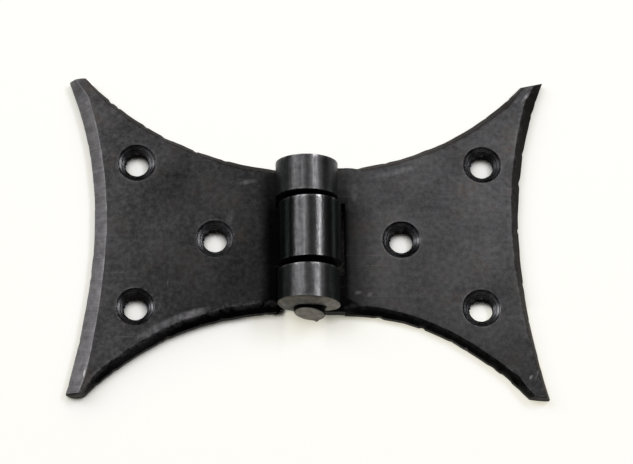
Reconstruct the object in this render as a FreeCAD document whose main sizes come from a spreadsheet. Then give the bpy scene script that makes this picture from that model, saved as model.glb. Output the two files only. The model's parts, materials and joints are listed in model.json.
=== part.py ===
"""Butterfly hinge: two scalloped, bevelled leaves of forged strip, rolled round one plain pin.

Millimetres. X runs across the open hinge, Y along the pin and Z up from the backs of the leaves.
The origin is at the middle of the outline, on the plane of the backs.
"""
import FreeCAD, Part
import os
import Sketcher

SIZES = (
    ("plate_thickness", 3.2, "thickness of the strip, in the leaves and round the barrel"),
    ("leaf_reach", 50.0, "pin axis to the outer corner of a tip"),
    ("leaf_height", 68.3, "upper tip to lower tip, along the pin"),
    ("tip_width", 3.9, "blunt end of each tip"),
    ("waist_height", 31.3, "height of a leaf where it meets the barrel"),
    ("edge_radius", 60.0, "scallop of the upper and lower edges"),
    ("outer_radius", 100.0, "scallop of the outer edge"),
    ("edge_bevel", 1.35, "width of the bevel along the upper and lower edges"),
    ("outer_bevel", 2.1, "width of the bevel along the outer edge"),
    ("bevel_depth", 1.6, "height of every bevel, down from the front face"),
    ("screw_hole", 5.0, "diameter of a screw hole"),
    ("countersink", 8.0, "diameter of a countersink at the front face"),
    ("countersink_angle", 90.0, "included angle of a countersink, in degrees"),
    ("outer_hole_reach", 35.6, "pin axis to the outer pair of screw holes"),
    ("inner_hole_reach", 19.3, "pin axis to the inner screw hole"),
    ("hole_pitch", 31.2, "between the outer screw holes, along the pin"),
    ("hole_drift", 0.9, "how far the right leaf's upper hole was drilled outside its mark"),
    ("pin_diameter", 6.4, "plain round pin"),
    ("pin_clearance", 0.05, "radial clearance of the pin in the knuckles"),
    ("pin_reach", 1.4, "how far each end of the pin stands out of the barrel"),
    ("pin_chamfer", 0.4, "broken edge at each end of the pin"),
    ("barrel_length", 30.4, "three knuckles and the two gaps between them"),
    ("barrel_drop", 0.9, "how far the barrel's middle lies below the middle of the outline"),
    ("middle_knuckle", 13.1, "length of the middle knuckle"),
    ("knuckle_gap", 1.2, "mean gap between neighbouring knuckles"),
    ("middle_rise", 0.2, "how far the left leaf's knuckle sits above the barrel's middle"),
    ("seam_gap", 0.4, "slit where the rolled end comes back to its own leaf"),
    ("left_notch_gap", 0.4, "left leaf's notches to the barrel"),
    ("right_notch_gap", 1.1, "right leaf's notch to the barrel"),
)

BORE_RADIUS = "(dims.pin_diameter / 2 + dims.pin_clearance)"
BARREL_RADIUS = f"({BORE_RADIUS} + dims.plate_thickness)"
END_KNUCKLE = "((dims.barrel_length - dims.middle_knuckle) / 2 - dims.knuckle_gap)"
END_KNUCKLE_PLACE = f"((dims.barrel_length - {END_KNUCKLE}) / 2)"
BARREL_MIDDLE = "(-dims.barrel_drop)"
SEAM_HEIGHT = "(dims.plate_thickness + dims.seam_gap)"

# Point numbers of a sketch's lines and arcs, and the sketch's own origin and axes.
START, END, CENTRE = range(1, 4)
ORIGIN = (-1, 1)
ACROSS, UPWARD = -1, -2
UPRIGHT = FreeCAD.Vector(0, 0, 1)

doc = FreeCAD.newDocument("butterfly_hinge")
sheet = doc.addObject("Spreadsheet::Sheet", "dims")
for row, (alias, value, meaning) in enumerate(SIZES, start=1):
    sheet.set(f"A{row}", meaning)
    sheet.set(f"B{row}", str(value))
    sheet.setAlias(f"B{row}", alias)
doc.recompute()


def number(expression):
    """Present value of an expression, to start a sketch close to its answer."""
    return float(sheet.evalExpression(expression))


def bind(thing, sizes):
    """Ties properties of a feature, or named sizes of a sketch, to expressions."""
    for name, expression in sizes.items():
        thing.setExpression(name, expression)


def attach(thing, body, role):
    """Lays a sketch or a primitive on one of its body's own origin planes."""
    plane = next(feature for feature in body.Origin.OriginFeatures if feature.Role == role)
    thing.AttachmentSupport = (plane, "")
    thing.MapMode = "FlatFace"


def add_sketch(body, name, role, lift):
    """Sketch on one of the body's own origin planes, raised along its normal by an expression."""
    sketch = body.newObject("Sketcher::SketchObject", name)
    attach(sketch, body, role)
    bind(sketch, {"AttachmentOffset.Base.z": lift})
    return sketch


def constrain(sketch, ties, sizes):
    """Adds the ties and the named, driving sizes of a sketch in one step, which keeps its drawn shape.

    A tie is a kind and what it joins. A size is an expression, a kind and what it measures.
    """
    parts = [Sketcher.Constraint(*tie) for tie in ties]
    for expression, kind, *where in sizes.values():
        parts.append(Sketcher.Constraint(kind, *where, number(expression)))
    sketch.addConstraint(parts)
    for index, (name, (expression, *_)) in enumerate(sizes.items(), start=len(ties)):
        sketch.renameConstraint(index, name)
        bind(sketch, {f"Constraints.{name}": expression})


def place(name, point, x, y):
    """The two sizes that fix a sketch point, measured from the sketch's origin."""
    return {
        f"{name}_x": (x, "DistanceX", *ORIGIN, *point),
        f"{name}_y": (y, "DistanceY", *ORIGIN, *point),
    }


def read_centre(sketch, name, arc):
    """Names an arc's centre as two read-only sizes, for other features to follow."""
    centre = sketch.Geometry[arc].Center
    for axis, value in (("x", centre.x), ("y", centre.y)):
        kind = f"Distance{axis.upper()}"
        index = sketch.addConstraint(Sketcher.Constraint(kind, *ORIGIN, arc, CENTRE, value))
        sketch.setDriving(index, False)
        sketch.renameConstraint(index, f"{name}_{axis}")


def arc_to_left(start, end, radius):
    """Arc from start to end that turns to the left and is less than half a circle."""
    start = FreeCAD.Vector(*start, 0)
    end = FreeCAD.Vector(*end, 0)
    half = (end - start) / 2
    rise = radius - (radius**2 - half.Length**2) ** 0.5
    outward = FreeCAD.Vector(half.y, -half.x, 0).normalize()
    return Part.Arc(start, start + half + outward * rise, end)


def draw_outline(sketch, corners, sides):
    """Closed outline. corners maps names to x and y expressions; sides names each arc and its radius."""
    names = list(corners)
    places = [(number(x), number(y)) for x, y in corners.values()]
    ties, sizes = [], {}
    for index, side in enumerate(sides):
        following = (index + 1) % len(names)
        start, end = places[index], places[following]
        if side:
            arc_name, radius = side
            sketch.addGeometry(arc_to_left(start, end, number(radius)))
            sizes[f"{arc_name}_radius"] = (radius, "Radius", index)
        else:
            sketch.addGeometry(Part.LineSegment(FreeCAD.Vector(*start, 0), FreeCAD.Vector(*end, 0)))
        ties.append(("Coincident", index, END, following, START))
        sizes.update(place(names[index], (index, START), *corners[names[index]]))
    constrain(sketch, ties, sizes)
    for index, side in enumerate(sides):
        if side:
            read_centre(sketch, f"{side[0]}_centre", index)


def add_plate(body, out, root):
    """Flat plate of one leaf: concave upper, lower and outer edges between blunt tips."""
    reach = f"{out} * dims.leaf_reach"
    tip = f"{out} * (dims.leaf_reach - dims.tip_width)"
    top = "dims.leaf_height / 2"
    waist_top = f"{BARREL_MIDDLE} + dims.waist_height / 2"
    waist_foot = f"{BARREL_MIDDLE} - dims.waist_height / 2"
    corners = {
        "upper_root": (root, waist_top),
        "upper_tip_inside": (tip, top),
        "upper_tip_outside": (reach, top),
        "lower_tip_outside": (reach, f"-{top}"),
        "lower_tip_inside": (tip, f"-{top}"),
        "lower_root": (root, waist_foot),
    }
    upper = ("upper", "dims.edge_radius")
    outer = ("outer", "dims.outer_radius")
    lower = ("lower", "dims.edge_radius")
    sides = [upper, None, outer, None, lower, None]
    if out < 0:
        # Taken the other way round, so that every scallop still turns to the left.
        corners = dict(reversed(corners.items()))
        sides = [lower, None, outer, None, upper, None]
    sketch = add_sketch(body, f"{body.Label}_outline", "XY_Plane", "0")
    draw_outline(sketch, corners, sides)
    plate = body.newObject("PartDesign::Pad", f"{body.Label}_plate")
    plate.Profile = sketch
    bind(plate, {"Length": "dims.plate_thickness"})
    return sketch


def add_bevel(body, outline, side, radius, width):
    """Cuts one scalloped edge back with a cone about the scallop's centre.

    The cone reaches one bevel below and one above the bevel itself, to cross both edges cleanly.
    """
    cone = body.newObject("PartDesign::SubtractiveCone", f"{body.Label}_{side}_bevel")
    attach(cone, body, "XY_Plane")
    centre = f"{outline.Name}.Constraints.{side}_centre"
    bind(cone, {
        "AttachmentOffset.Base.x": f"{centre}_x",
        "AttachmentOffset.Base.y": f"{centre}_y",
        "AttachmentOffset.Base.z": "dims.plate_thickness - 2 * dims.bevel_depth",
        "Radius1": f"{radius} - {width}",
        "Radius2": f"{radius} + 2 * {width}",
        "Height": "3 * dims.bevel_depth",
    })


def add_screw_holes(body, out, drift):
    """Two countersunk holes near the outer edge, the upper one drifted outward, and one by the barrel."""
    outer = f"{out} * dims.outer_hole_reach"
    inner = f"{out} * dims.inner_hole_reach"
    places = {
        "upper_hole": (f"{outer} + {out} * {drift}", "dims.hole_pitch / 2"),
        "lower_hole": (outer, "-dims.hole_pitch / 2"),
        "inner_hole": (inner, BARREL_MIDDLE),
    }
    sketch = add_sketch(body, f"{body.Label}_hole_centres", "XY_Plane", "dims.plate_thickness")
    sizes = {}
    for index, (name, (x, y)) in enumerate(places.items()):
        centre = FreeCAD.Vector(number(x), number(y), 0)
        sketch.addGeometry(Part.Circle(centre, UPRIGHT, number("dims.screw_hole / 2")))
        sizes.update(place(name, (index, CENTRE), x, y))
        sizes[f"{name}_diameter"] = ("dims.screw_hole", "Diameter", index)
    constrain(sketch, [], sizes)
    doc.recompute()
    hole = body.newObject("PartDesign::Hole", f"{body.Label}_screw_holes")
    hole.Profile = sketch
    hole.DepthType = "ThroughAll"
    hole.HoleCutType = "Countersink"
    hole.HoleCutCustomValues = True
    bind(hole, {
        "Diameter": "dims.screw_hole",
        "HoleCutDiameter": "dims.countersink",
        "HoleCutCountersinkAngle": "dims.countersink_angle",
    })


def add_knuckle(body, out, root, name, middle, length):
    """Strip that runs under the pin from its leaf, rolls round it and comes down to the leaf's front."""
    sketch = add_sketch(body, f"{body.Label}_{name}_roll", "XZ_Plane", f"-({middle})")
    barrel, bore = number(BARREL_RADIUS), number(BORE_RADIUS)
    seam = number(SEAM_HEIGHT)
    thickness = number("dims.plate_thickness")
    axis = FreeCAD.Vector(0, barrel, 0)

    def on_circle(radius):
        return FreeCAD.Vector(out * (radius**2 - (barrel - seam) ** 2) ** 0.5, seam, 0)

    def far_side(radius):
        return axis - FreeCAD.Vector(out * radius, 0, 0)

    under_outside = FreeCAD.Vector(0, 0, 0)
    under_inside = FreeCAD.Vector(0, thickness, 0)
    lip_outside, lip_inside = on_circle(barrel), on_circle(bore)
    front = FreeCAD.Vector(number(root), thickness, 0)
    back = FreeCAD.Vector(number(root), 0, 0)

    def rolled(under, lip, radius):
        """Arc drawn anticlockwise, and the numbers of its ends under the pin and at the lip."""
        if out > 0:
            return Part.Arc(lip, far_side(radius), under), END, START
        return Part.Arc(under, far_side(radius), lip), START, END

    outside, under_end, lip_end = rolled(under_outside, lip_outside, barrel)
    inside = rolled(under_inside, lip_inside, bore)[0]
    outer_roll, inner_roll, lip, strip_front, strip_root, strip_back = range(6)
    sketch.addGeometry([
        outside,
        inside,
        Part.LineSegment(lip_outside, lip_inside),
        Part.LineSegment(under_inside, front),
        Part.LineSegment(front, back),
        Part.LineSegment(back, under_outside),
    ])
    constrain(sketch, [
        ("Coincident", outer_roll, under_end, *ORIGIN),
        ("Coincident", strip_back, END, *ORIGIN),
        ("PointOnObject", outer_roll, CENTRE, UPWARD),
        ("Coincident", inner_roll, CENTRE, outer_roll, CENTRE),
        ("Coincident", lip, START, outer_roll, lip_end),
        ("Coincident", lip, END, inner_roll, lip_end),
        ("Coincident", strip_front, START, inner_roll, under_end),
        ("PointOnObject", inner_roll, under_end, UPWARD),
        ("Coincident", strip_front, END, strip_root, START),
        ("Coincident", strip_root, END, strip_back, START),
        ("PointOnObject", strip_back, START, ACROSS),
        ("Horizontal", lip),
        ("Horizontal", strip_front),
        ("Vertical", strip_root),
    ], {
        "barrel_radius": (BARREL_RADIUS, "Radius", outer_roll),
        "bore_radius": (BORE_RADIUS, "Radius", inner_roll),
        "seam": (SEAM_HEIGHT, "DistanceY", *ORIGIN, lip, START),
        "root": (root, "DistanceX", *ORIGIN, strip_root, START),
    })
    knuckle = body.newObject("PartDesign::Pad", f"{body.Label}_{name}")
    knuckle.Profile = sketch
    knuckle.SideType = "Symmetric"
    bind(knuckle, {"Length": length})


def make_leaf(name, out, notch_gap, drift, knuckles):
    """One leaf, which lies on the side of the pin that out gives: 1 for +X, -1 for -X."""
    body = doc.addObject("PartDesign::Body", name)
    body.Label = name
    root = f"{out} * ({BARREL_RADIUS} + {notch_gap})"
    outline = add_plate(body, out, root)
    doc.recompute()
    add_bevel(body, outline, "upper", "dims.edge_radius", "dims.edge_bevel")
    add_bevel(body, outline, "lower", "dims.edge_radius", "dims.edge_bevel")
    add_bevel(body, outline, "outer", "dims.outer_radius", "dims.outer_bevel")
    add_screw_holes(body, out, drift)
    for knuckle, (middle, length) in knuckles.items():
        add_knuckle(body, out, root, knuckle, middle, length)
    return body


def make_pin():
    """Plain rod through all three knuckles, with both ends broken."""
    body = doc.addObject("PartDesign::Body", "hinge_pin")
    body.Label = "hinge_pin"
    sketch = add_sketch(body, "hinge_pin_section", "XZ_Plane", f"-{BARREL_MIDDLE}")
    axis = FreeCAD.Vector(0, number(BARREL_RADIUS), 0)
    sketch.addGeometry(Part.Circle(axis, UPRIGHT, number("dims.pin_diameter / 2")))
    constrain(sketch, [("PointOnObject", 0, CENTRE, UPWARD)], {
        "axis_height": (BARREL_RADIUS, "DistanceY", *ORIGIN, 0, CENTRE),
        "diameter": ("dims.pin_diameter", "Diameter", 0),
    })
    rod = body.newObject("PartDesign::Pad", "hinge_pin_rod")
    rod.Profile = sketch
    rod.SideType = "Symmetric"
    bind(rod, {"Length": "dims.barrel_length + 2 * dims.pin_reach"})
    doc.recompute()
    rims = [f"Edge{i}" for i, edge in enumerate(rod.Shape.Edges, start=1) if len(edge.Vertexes) == 1]
    ends = body.newObject("PartDesign::Chamfer", "hinge_pin_ends")
    ends.Base = (rod, rims)
    bind(ends, {"Size": "dims.pin_chamfer"})
    return body


def check(body):
    """Stops the build unless each feature added or cut what it should and left one sound solid."""
    volume = 0.0
    for feature in body.Group:
        if feature.isDerivedFrom("PartDesign::Feature"):
            adds = feature.isDerivedFrom("PartDesign::Pad")
            if (feature.Shape.Volume > volume) != adds:
                raise RuntimeError(f"{feature.Label} points the wrong way")
            volume = feature.Shape.Volume
    shape = body.Shape
    if shape.isNull() or not shape.isValid() or len(shape.Solids) != 1:
        raise RuntimeError(f"{body.Label} is not one sound solid")


left_leaf = make_leaf("left_leaf", -1, "dims.left_notch_gap", "0", {
    "middle_knuckle": (f"{BARREL_MIDDLE} + dims.middle_rise", "dims.middle_knuckle"),
})
right_leaf = make_leaf("right_leaf", 1, "dims.right_notch_gap", "dims.hole_drift", {
    "upper_knuckle": (f"{BARREL_MIDDLE} + {END_KNUCKLE_PLACE}", END_KNUCKLE),
    "lower_knuckle": (f"{BARREL_MIDDLE} - {END_KNUCKLE_PLACE}", END_KNUCKLE),
})
hinge_pin = make_pin()
doc.recompute()

for thing in doc.Objects:
    if {"Invalid", "Error"} & set(thing.State):
        raise RuntimeError(f"{thing.Label} failed")
bodies = (left_leaf, right_leaf, hinge_pin)
for body in bodies:
    check(body)

os.makedirs("parts", exist_ok=True)
for body in bodies:
    body.Shape.exportStep(f"parts/{body.Label}.step")
    print(f"{body.Label}: {body.Shape.Volume:.1f} mm3")
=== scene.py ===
"""Hand-forged butterfly hinge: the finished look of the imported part, laid out as an add-on.

Functions work in millimetres, in a leaf's own directions: out from the pin axis, along the pin, and up.
Meshes and properties are in metres, in the part's frame.
"""
import json
import math
from typing import NamedTuple

import bmesh
import bpy
import numpy as np
from bpy.props import FloatProperty, FloatVectorProperty, IntProperty, PointerProperty
from mathutils import Matrix, Vector, noise
from mathutils.geometry import delaunay_2d_cdt


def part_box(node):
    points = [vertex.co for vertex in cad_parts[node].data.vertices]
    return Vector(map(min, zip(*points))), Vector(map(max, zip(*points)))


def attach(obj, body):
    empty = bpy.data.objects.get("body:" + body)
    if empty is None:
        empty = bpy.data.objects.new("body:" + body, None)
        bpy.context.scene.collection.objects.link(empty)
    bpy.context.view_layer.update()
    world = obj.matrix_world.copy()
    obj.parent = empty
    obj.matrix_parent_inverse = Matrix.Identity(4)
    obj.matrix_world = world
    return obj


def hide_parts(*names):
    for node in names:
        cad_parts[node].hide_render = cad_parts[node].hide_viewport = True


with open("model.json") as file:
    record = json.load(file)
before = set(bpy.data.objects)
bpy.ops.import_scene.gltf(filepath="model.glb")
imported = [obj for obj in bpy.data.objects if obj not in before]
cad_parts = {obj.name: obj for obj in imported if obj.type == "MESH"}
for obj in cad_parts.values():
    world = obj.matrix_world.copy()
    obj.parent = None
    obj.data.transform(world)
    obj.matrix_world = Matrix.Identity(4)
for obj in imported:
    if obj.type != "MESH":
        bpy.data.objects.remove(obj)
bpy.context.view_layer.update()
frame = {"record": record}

bl_info = {
    "name": "Butterfly hinge",
    "version": (1, 0, 0),
    "blender": (4, 5, 0),
    "location": "3D View > Sidebar > Hinge",
    "description": "Dresses a packed butterfly hinge as hand-forged black iron",
    "category": "Object",
}

MM = 0.001
FULL_TURN = 2 * math.pi
SAME_PLACE = 0.002  # points nearer than this, in millimetres, are merged
IMAGE_WIDTH = 633
SENSOR = 36.0

LEFT_LOW, LEFT_HIGH = (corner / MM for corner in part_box("left_leaf"))
PIN_LOW, PIN_HIGH = (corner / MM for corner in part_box("hinge_pin"))
LEAF_REACH = -LEFT_LOW.x
HALF_HEIGHT = (LEFT_HIGH.y - LEFT_LOW.y) / 2
BARREL_RADIUS = LEFT_HIGH.z / 2
PIN_RADIUS = (PIN_HIGH.x - PIN_LOW.x) / 2
BARREL_MIDDLE = (PIN_HIGH.y + PIN_LOW.y) / 2
PIN_CLEARANCE = 0.05
SCREW_RADIUS = frame["record"]["mounts"][0]["dims"]["r_mm"]

# Finishes of a leaf, in the order of its material slots, which end with the countersinks' cut.
SCALE, FILED, ROLLED, SAWN, BLACK = range(5)

# Small shapes of a blank, in millimetres.
FRONT_ROUND = 0.12      # rounding along the front edges
BACK_ROUND = 0.18       # rounding along the back edges
BACK_ROW = 0.2          # height of the row above the back edge
BARREL_FROM = -3.0      # where on the blank the barrel begins, out from the pin axis
BLANK_END = -29.0       # past the end of every roll
END_MARGIN = 0.5        # how far past its tongue a knuckle's end may lie
CORNER_EASE = 1.5       # how near a corner the filed unevenness dies out
BEVEL_EASE = 5.0        # how near a corner a bevel takes on the corner's width
RIM_STEPS = (0.25, 0.4, 0.55, 0.7, 0.9, 1.3)    # rings of points round a countersink
LONG_EDGE = 5.0         # from this length on, an edge has points LONG_STEP apart, and else SHORT_STEP
LONG_STEP = 0.45
SHORT_STEP = 0.3

# Rows of points on an edge: the wall from the back, then the bevel, its top, and the front.
BEVEL_ROW, TOP_ROW, FRONT_ROW = 2, 4, 5


def length(label, description, default):
    """A length property, in metres."""
    return FloatProperty(name=label, description=description, default=default, unit="LENGTH", precision=5)


def share(label, description, default, high=1.0):
    """A plain number from 0 to a highest value."""
    return FloatProperty(name=label, description=description, default=default, min=0.0, max=high)


def angle(label, description, degrees):
    """An angle property."""
    return FloatProperty(name=label, description=description, default=math.radians(degrees), subtype="ANGLE")


def colour(label, description, default):
    """A linear colour property."""
    return FloatVectorProperty(name=label, description=description, default=default, subtype="COLOR",
                               min=0.0, max=1.0)


class HingeSizes(bpy.types.PropertyGroup):
    """Sizes of the leaves and the pin that a user would change."""
    thickness: length("Strip", "Thickness of the strip", (BARREL_RADIUS - PIN_RADIUS - PIN_CLEARANCE) * MM)
    tip_width: length("Tip", "Blunt end of each tip", 3.9 * MM)
    waist: length("Waist", "Height of a leaf at the barrel", 31.3 * MM)
    bevel_depth: length("Bevel depth", "How far a bevel reaches down from the front", 1.6 * MM)
    seam: length("Seam", "Slit between a rolled end and its own leaf", 0.4 * MM)
    rim_radius: length("Countersink", "Radius of a countersink at the front", 4.0 * MM)
    screw_radius: length("Screw hole", "Radius of a screw hole", SCREW_RADIUS * MM)
    ring_depth: length("Tool rings", "Height of the cutter's rings in a countersink", 0.07 * MM)
    burr: length("Burr", "How far the drill's burr hangs into a screw hole", 0.8 * MM)
    rings: share("Ring count", "Number of cutter's rings in a countersink", 6.0, 20.0)
    wobble: share("Edge wobble", "How uneven the filed edges are", 1.0, 3.0)
    hammering: length("Hammering", "Unevenness of the hammered front", 0.03 * MM)
    pin_chamfer: length("Pin edge", "Broken edge of the pin's ends", 0.2 * MM)
    pin_proud: length("Pin proud", "How far the pin's near end stands out past the drawn length", 0.5 * MM)
    pin_short: length("Pin short", "How far the pin's far end stops short of the drawn length", 0.8 * MM)
    pin_slant: length("Pin slant", "How far the near end is out of square, top to bottom", 0.45 * MM)
    pin_skew: length("Pin skew", "How far the near end is out of square, right to left", 0.45 * MM)
    seed: IntProperty(name="Seed", description="Chooses the irregularities", default=4, min=0)


class HingeColours(bpy.types.PropertyGroup):
    """Colours of the iron's finishes."""
    scale_dark: colour("Scale, dark", "Darkest black of the scale", (0.032, 0.032, 0.034))
    scale_light: colour("Scale, light", "Lightest grey of the scale", (0.092, 0.090, 0.092))
    rust: colour("Brown cast", "Brown cast in patches of the scale", (0.075, 0.056, 0.043))
    # Near black laid as soot and as painted shade on the unfiled edges and their walls, and as painted shade
    # beside the barrel and in the face's lower corner; the sawn ends and the screw holes use it too.
    soot_and_shade: colour("Soot", "Black of the edges that the file left alone", (0.0025, 0.0025, 0.0025))
    filed: colour("Filed iron", "Filed bevel", (0.22, 0.213, 0.22))
    rolled: colour("Barrel", "Smooth black of the rolled barrel", (0.046, 0.0455, 0.047))
    # Painted shade: blue black laid over the barrel's flanks below its crown.
    painted_flank_shade: colour("Barrel, flanks", "Blue black of the barrel's flanks", (0.0005, 0.011, 0.010))
    sawn: colour("Sawn ends", "Bare grey of the sawn ends", (0.15, 0.14, 0.12))
    cut: colour("Countersink", "Iron laid bare by the cutter", (0.14, 0.14, 0.15))


class HingeStage(bpy.types.PropertyGroup):
    """Camera and lights."""
    tilt: angle("Tilt", "Camera's lean from straight above, towards the near edge", 18.0)
    sideways: angle("Sideways", "Camera's lean to the left", 2.74)
    roll: angle("Roll", "Camera's turn about its own line of sight", -0.53)
    distance: length("Distance", "Camera to the hinge", 0.6)
    window: share("Window", "Brightness of the broad window light", 3.5, 20.0)
    strip: share("Strip light", "Brightness of the narrow strip light", 13.5, 50.0)
    overhead: share("Overhead", "Brightness of the ceiling", 0.5, 5.0)
    floor_lit: colour("Floor, lit", "What the floor adds under the lamps", (0.44, 0.47, 0.6))
    floor_glow: colour("Floor, own", "Pale tone that the floor has in shade", (0.70, 0.67, 0.54))
    floor_shade: length("Floor shade", "How near a piece must be to shade the floor's own tone", 0.012)


class HingeSettings(bpy.types.PropertyGroup):
    """All settings of the hinge."""
    sizes: PointerProperty(type=HingeSizes)
    colours: PointerProperty(type=HingeColours)
    stage: PointerProperty(type=HingeStage)


class Edge(NamedTuple):
    """One filed edge of a leaf, in the direction in which the outline is walked."""
    depth: float            # depth of the scallop
    bevel: tuple            # bevel at the start corner, near it, halfway, near the end corner, at it
    soot_and_shade: tuple             # how black the bevel is painted, as soot and as painted shade, at its start and its end, and the wall under it
    worn: float             # how far the scale is rubbed off along the bevel's upper edge
    lean: float = 0.0       # moves the scallop's deepest place towards the edge's end
    ragged: float = 1.0     # how uneven it was filed
    finish: int = BLACK


class End(NamedTuple):
    """The blunt end of a tip."""
    bulge: float
    # how black the tip's end is painted, as soot and as painted shade
    soot_and_shade: float
    bevel: float = 0.0


class Tongue(NamedTuple):
    """A strip that is rolled into one knuckle."""
    low: float
    high: float
    drift: float            # how far the knuckle's outside lies off the pin axis, in X
    polish: float           # how smooth its outside is rubbed, below 0 where it is rougher and paler
    low_round: float        # how far the rim of its lower end is rounded over
    high_round: float
    low_finish: int = SCALE
    high_finish: int = SCALE
    slant: float = 0.0      # how far its lower end is out of square
    dome: float = 0.0       # how far its lower end stands out towards the pin, which also sets it back
    skew: float = 0.0       # how far its roundness is off, which moves its crown towards -X


class Side(NamedTuple):
    """One side of a tongue, which becomes an end of its knuckle."""
    tongue: Tongue
    finish: int
    rounding: float


class Leaf(NamedTuple):
    """One leaf as it was made. Tips are nudges from the true corners, outside first."""
    name: str
    side: int
    body: str
    notch: float
    lower_root: float
    upper_root: float
    lower_tip: tuple
    upper_tip: tuple
    lower: Edge
    outer: Edge
    upper: Edge
    tongues: tuple
    lower_end: End
    upper_end: End
    tone: float     # how light the scale is
    speckle: float  # how strongly the scale is speckled
    light: tuple    # painted light: how light the face is painted at its lower, upper and outer end, and how strong the painted shade beside the barrel is
    marks: tuple    # rubbed marks, some of them painted highlights on lit facets: X, Y, half length, half width, degrees, strength


LEAVES = (
    Leaf(
        name="left_leaf",
        side=-1,
        body="left_side",
        notch=0.15,
        lower_root=0.34,
        upper_root=-0.10,
        lower_tip=((-0.47, 0.43), (-0.44, 0.23)),
        upper_tip=((-0.17, -0.27), (-0.04, 0.21)),
        lower=Edge(depth=4.1, bevel=(1.5, 1.6, 1.6, 1.4, 0.6), soot_and_shade=(1.0, 1.0, 0.2), worn=0.25),
        outer=Edge(depth=5.48, bevel=(2.5, 3.0, 2.35, 2.4, 1.2), soot_and_shade=(0.0, 0.0, 0.0), worn=0.0, lean=0.2,
                   ragged=0.45, finish=FILED),
        upper=Edge(depth=3.93, bevel=(0.4, 1.0, 1.3, 1.3, 1.3), soot_and_shade=(0.3, 0.4, 0.5), worn=0.05),
        tongues=(Tongue(low=-7.4, high=5.85, drift=0.2, polish=1.0, low_round=0.12, high_round=0.2),),
        lower_end=End(bulge=0.45, soot_and_shade=0.3),
        upper_end=End(bulge=0.1, soot_and_shade=0.1),
        tone=0.72,
        speckle=1.0,
        light=(0.8, 1.12, 1.6, 0.5),
        marks=(
            (-45.8, -29.7, 1.0, 0.2, 80.0, 1.0),
            (-30.8, -20.1, 5.6, 1.2, 29.5, 0.42),
            (-24.5, -17.3, 5.0, 1.1, 18.0, 0.55),
            (-12.6, 11.5, 2.4, 0.6, 14.0, 0.25),
            (-29.0, -10.5, 1.6, 0.12, 86.0, 0.2),
            (-16.5, 3.0, 3.0, 1.0, 70.0, 0.12),
            (-34.5, -19.5, 13.0, 6.0, 45.0, 0.12),
        ),
    ),
    Leaf(
        name="right_leaf",
        side=1,
        body="right_side",
        notch=1.1,
        lower_root=-0.05,
        upper_root=0.21,
        lower_tip=((-0.75, -0.5), (-0.94, -0.15)),
        upper_tip=((-0.07, 0.34), (-0.87, -0.65)),
        lower=Edge(depth=4.35, bevel=(0.8, 1.7, 1.05, 1.15, 0.6), soot_and_shade=(1.0, 1.0, 0.75), worn=0.1, lean=-0.1),
        outer=Edge(depth=5.7, bevel=(0.8, 0.8, 1.4, 2.2, 1.0), soot_and_shade=(0.2, 0.85, 0.2), worn=0.1, lean=0.15,
                   ragged=0.6),
        upper=Edge(depth=3.95, bevel=(0.8, 1.5, 1.25, 1.3, 0.25), soot_and_shade=(0.4, 0.15, 0.5), worn=0.05),
        tongues=(
            Tongue(low=6.8, high=14.7, drift=-0.4, polish=-0.3, low_round=0.12, high_round=0.3,
                   high_finish=SAWN, skew=0.1),
            Tongue(low=-16.5, high=-8.65, drift=-0.15, polish=-0.2, low_round=0.2, high_round=0.2,
                   low_finish=SAWN, slant=0.25, dome=0.9, skew=0.08),
        ),
        lower_end=End(bulge=0.1, soot_and_shade=0.85),
        upper_end=End(bulge=0.0, soot_and_shade=0.3, bevel=0.6),
        tone=1.22,
        speckle=0.6,
        light=(0.72, 1.3, 1.15, 0.85),
        marks=(
            (18.2, 13.9, 5.6, 0.8, 14.5, 0.3),
            (46.2, 30.9, 1.9, 0.4, 50.0, 1.2),
            (45.3, -30.3, 0.7, 0.3, 60.0, 0.9),
            (46.6, -29.8, 1.6, 0.25, 70.0, 0.3),
            (10.2, -12.4, 0.9, 0.5, 10.0, 0.25),
            (12.6, -12.8, 0.8, 0.5, 40.0, 0.2),
            (9.6, 9.5, 0.8, 2.6, 0.0, 0.15),
            (32.3, -23.9, 0.5, 0.2, -30.0, 0.8),
            (44.6, 30.2, 1.3, 0.5, 45.0, 0.35),
        ),
    ),
)


class Signal:
    """A node's output, on which arithmetic adds nodes to its tree."""

    def __init__(self, socket):
        self.socket = socket
        self.tree = socket.id_data

    def __add__(self, other):
        return calc(self.tree, "ADD", self, other)

    def __sub__(self, other):
        return calc(self.tree, "SUBTRACT", self, other)

    def __rsub__(self, other):
        return calc(self.tree, "SUBTRACT", other, self)

    def __mul__(self, other):
        return calc(self.tree, "MULTIPLY", self, other)

    def __truediv__(self, other):
        return calc(self.tree, "DIVIDE", self, other)

    def __abs__(self):
        return calc(self.tree, "ABSOLUTE", self)

    def most(self, other):
        """The greater of two values."""
        return calc(self.tree, "MAXIMUM", self, other)

    def sine(self):
        """Sine of an angle."""
        return calc(self.tree, "SINE", self)

    def cosine(self):
        """Cosine of an angle."""
        return calc(self.tree, "COSINE", self)

    def ramp(self, low, high, start=0.0, end=1.0):
        """Maps a range to another in a straight line, and stops at its ends."""
        inputs = {"Value": self, "From Min": low, "From Max": high, "To Min": start, "To Max": end}
        return add(self.tree, "ShaderNodeMapRange", inputs, clamp=True)

    def ramp_mm(self, low, high, start=0.0, end=1.0):
        """The same from a range in millimetres."""
        return self.ramp(low * MM, high * MM, start, end)

    def parts(self):
        """X, Y and Z of a vector."""
        return list(outputs(self.tree, "ShaderNodeSeparateXYZ", {0: self}).values())

    def length(self):
        """Length of a vector."""
        return add(self.tree, "ShaderNodeVectorMath", {0: self}, "Value", operation="LENGTH")

    def lighter(self, gain):
        """A colour made lighter, or darker by a gain below 1."""
        return add(self.tree, "ShaderNodeVectorMath", {0: self, "Scale": gain}, operation="SCALE")

    def under(self, share_of_other, other):
        """A colour with another laid over it."""
        return blend(self.tree, share_of_other, self, other)


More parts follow.
